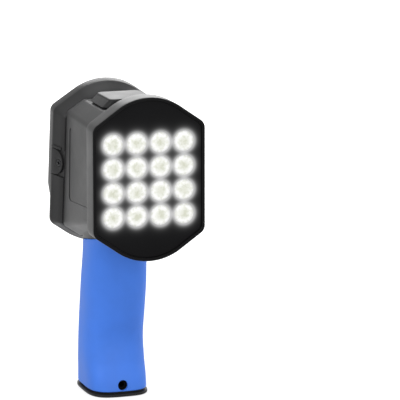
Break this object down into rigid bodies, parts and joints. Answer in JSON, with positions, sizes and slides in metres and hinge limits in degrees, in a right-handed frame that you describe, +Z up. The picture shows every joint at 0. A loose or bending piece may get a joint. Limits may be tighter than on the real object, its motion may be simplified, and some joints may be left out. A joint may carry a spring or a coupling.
{
  "type": "stroboscope",
  "caption": "Hand-held LED stroboscope: faceted lamp head with a grid of lenses, hooded rear display with an oval keypad, and a raked soft-grip handle on a flat foot.",
  "frame": {"origin": "centre of the foot's underside, on the surface that the handle stands on", "axes": "+Z up, -Y the way the lamp shines, +X the user's left"},
  "size_m": [0.076, 0.1134, 0.214],
  "materials": {
    "housing_plastic": "fine moulded texture",
    "mask_plastic": "satin black",
    "lens_plastic": "clear",
    "led_package": "satin",
    "metal_core": "white solder mask",
    "seal_rubber": "matt",
    "sink_alloy": "extruded",
    "screw_steel": "plated",
    "trim_plastic": "fine moulded texture",
    "fascia_plastic": "satin",
    "lcd_glass": "anti-glare",
    "board_laminate": "solder mask",
    "key_plastic": "satin",
    "grip_rubber": "soft touch",
    "cell_can": "shrink sleeve"
  },
  "bodies": {
    "housing": {"lamp_bezel": "housing_plastic", "lamp_mask": "mask_plastic", "led_lenses": "lens_plastic", "led_emitters": "led_package", "led_board": "metal_core", "lamp_gasket": "seal_rubber", "heat_sink": "sink_alloy", "board_screws": "screw_steel", "left_shell": "housing_plastic", "right_shell": "housing_plastic", "top_cover": "trim_plastic", "display_housing": "housing_plastic", "fascia": "fascia_plastic", "lcd_panel": "lcd_glass", "lcd_frame": "mask_plastic", "display_board": "board_laminate", "display_screws": "screw_steel", "key_mat": "seal_rubber", "key_domes": "screw_steel", "driver_board": "board_laminate", "driver_parts": "mask_plastic", "grip": "grip_rubber", "base_plate": "trim_plastic", "base_screws": "screw_steel", "lead_socket": "mask_plastic", "battery_cells": "cell_can", "battery_cradle": "mask_plastic", "front_ear_screws": "screw_steel", "rear_ear_screws": "screw_steel"},
    "key_power": {"key_power": "key_plastic"},
    "key_mode": {"key_mode": "key_plastic"},
    "key_plus": {"key_plus": "key_plastic"},
    "key_minus": {"key_minus": "key_plastic"},
    "key_times": {"key_times": "key_plastic"},
    "key_pulse": {"key_pulse": "key_plastic"}
  },
  "joints": [
    {"name": "key_power_press", "type": "slide", "parent": "housing", "child": "key_power", "axis": [0, -0.9903, -0.1392], "range_m": [0, 0.0008], "stiffness_N_per_m": 1200},
    {"name": "key_mode_press", "type": "slide", "parent": "housing", "child": "key_mode", "axis": [0, -0.9903, -0.1392], "range_m": [0, 0.0008], "stiffness_N_per_m": 1200},
    {"name": "key_plus_press", "type": "slide", "parent": "housing", "child": "key_plus", "axis": [0, -0.9903, -0.1392], "range_m": [0, 0.0008], "stiffness_N_per_m": 1200},
    {"name": "key_minus_press", "type": "slide", "parent": "housing", "child": "key_minus", "axis": [0, -0.9903, -0.1392], "range_m": [0, 0.0008], "stiffness_N_per_m": 1200},
    {"name": "key_times_press", "type": "slide", "parent": "housing", "child": "key_times", "axis": [0, -0.9903, -0.1392], "range_m": [0, 0.0008], "stiffness_N_per_m": 1200},
    {"name": "key_pulse_press", "type": "slide", "parent": "housing", "child": "key_pulse", "axis": [0, -0.9903, -0.1392], "range_m": [0, 0.0008], "stiffness_N_per_m": 1200}
  ]
}
